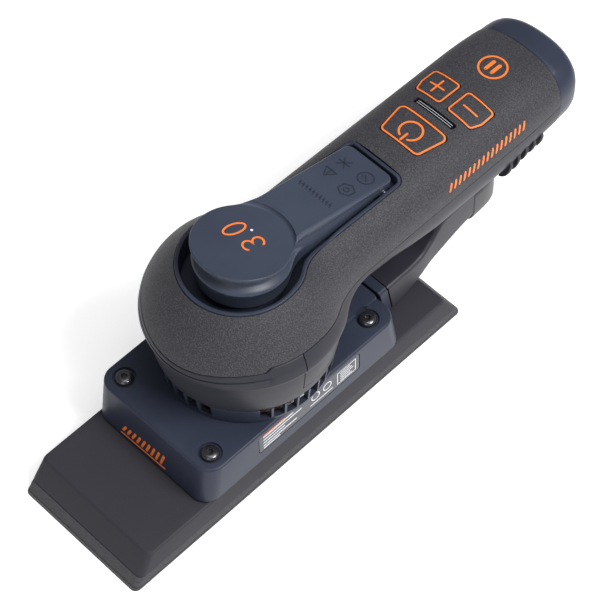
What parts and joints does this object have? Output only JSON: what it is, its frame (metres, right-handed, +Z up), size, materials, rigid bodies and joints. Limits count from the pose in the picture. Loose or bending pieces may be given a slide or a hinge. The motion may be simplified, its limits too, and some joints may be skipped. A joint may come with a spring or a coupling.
{
  "type": "orbital sander",
  "caption": "Orbital sander with a long rectangular pad, a domed motor housing, a paddle lever, a straight top handle with buttons and a dust duct beneath it",
  "frame": {"origin": "on the motor axis, at the sanding face of the pad", "axes": "+Z up away from the work, +X from the nose along the handle to the rear cap, +Y to the left side when looking from the nose along +X"},
  "size_m": [0.2837, 0.0868, 0.1193],
  "materials": {
    "navy_plastic": "smooth satin moulded plastic, dark navy grey",
    "textured_charcoal": "fine grained soft-touch overmould, charcoal",
    "smooth_grey_plastic": "smooth satin plastic, dark grey",
    "pad_plate": "matt grained plastic",
    "pad_foam": "open foam, dark grey",
    "hook_loops": "short hook pile",
    "bright_steel": "turned and ground",
    "black_steel": "black oxide",
    "cast_aluminium": "die cast, machined faces",
    "cast_iron": "as cast",
    "fan_plastic": "moulded",
    "magnet": "nickel-plated magnet segments",
    "lamination": "stacked sheet steel",
    "copper": "enamelled copper wire",
    "rubber": "moulded rubber",
    "label": "printed polyester label",
    "black_plastic": "satin black plastic",
    "black_glass": "smoked gloss window",
    "circuit_board": "green solder mask",
    "component": "moulded housings",
    "cable": "sleeved leads",
    "brass": "contact pins"
  },
  "bodies": {
    "housing": {"bearing_carrier": "cast_aluminium", "bezel_trim": "navy_plastic", "button_board": "circuit_board", "case_screw_left": "black_steel", "case_screw_right": "black_steel", "controller_board": "circuit_board", "duct_collar": "navy_plastic", "dust_duct": "smooth_grey_plastic", "filter_capacitor": "component", "heat_sink": "cast_aluminium", "hose_spigot": "smooth_grey_plastic", "inlet_pin_1": "brass", "inlet_pin_2": "brass", "led_window": "black_glass", "lever_pin": "bright_steel", "lever_spring": "bright_steel", "lever_switch": "component", "lower_bearing": "bright_steel", "lower_shell": "smooth_grey_plastic", "lower_winding": "copper", "minus_switch": "component", "motor_cable": "cable", "motor_end_plate": "cast_aluminium", "motor_housing": "smooth_grey_plastic", "outlet_cuff": "black_plastic", "pad_shroud": "navy_plastic", "plus_switch": "component", "power_inlet": "black_plastic", "power_switch": "component", "rating_label": "label", "rear_cap": "navy_plastic", "rubber_leg_front_left": "rubber", "rubber_leg_front_right": "rubber", "rubber_leg_rear_left": "rubber", "rubber_leg_rear_right": "rubber", "shroud_screw_front_left": "black_steel", "shroud_screw_front_right": "black_steel", "shroud_screw_rear_left": "black_steel", "shroud_screw_rear_right": "black_steel", "stator_core": "lamination", "upper_bearing": "bright_steel", "upper_shell": "textured_charcoal", "upper_winding": "copper", "vent_ring": "navy_plastic"},
    "rotor": {"motor_shaft": "bright_steel", "rotor_core": "bright_steel", "rotor_magnets": "magnet", "cooling_fan": "fan_plastic", "eccentric_hub": "cast_aluminium", "counterweight": "cast_iron", "spindle_bearing": "bright_steel"},
    "pad": {"pad_plate": "pad_plate", "pad_foam": "pad_foam", "hook_face": "hook_loops", "pad_spindle": "bright_steel", "pad_bolt": "black_steel"},
    "lever": {"paddle_lever": "navy_plastic"},
    "power_button": {"power_button": "textured_charcoal"},
    "plus_button": {"plus_button": "textured_charcoal"},
    "minus_button": {"minus_button": "textured_charcoal"}
  },
  "joints": [
    {"name": "rotor_spin", "type": "hinge", "parent": "housing", "child": "rotor", "pos_m": [0, 0, 0.04], "axis": [0, 0, 1], "continuous": true},
    {"name": "pad_orbit", "type": "hinge", "parent": "rotor", "child": "pad", "pos_m": [-0.0015, 0, 0.025], "axis": [0, 0, 1], "continuous": true},
    {"name": "paddle_press", "type": "hinge", "parent": "housing", "child": "lever", "pos_m": [0.07, 0, 0.0934], "axis": [0, -1, 0], "range_deg": [0, 3], "stiffness_Nm_per_rad": 5, "springref_deg": -3.44, "deforming": ["lever_spring"]},
    {"name": "power_button_press", "type": "slide", "parent": "housing", "child": "power_button", "axis": [0, 0, -1], "range_m": [0, 0.0006], "stiffness_N_per_m": 1500, "springref_m": -0.0006},
    {"name": "plus_button_press", "type": "slide", "parent": "housing", "child": "plus_button", "axis": [0, 0, -1], "range_m": [0, 0.0006], "stiffness_N_per_m": 1500, "springref_m": -0.0006},
    {"name": "minus_button_press", "type": "slide", "parent": "housing", "child": "minus_button", "axis": [0, 0, -1], "range_m": [0, 0.0006], "stiffness_N_per_m": 1500, "springref_m": -0.0006}
  ],
  "couplings": [
    {"joint": "pad_orbit", "follows": "rotor_spin", "ratio": -1}
  ]
}
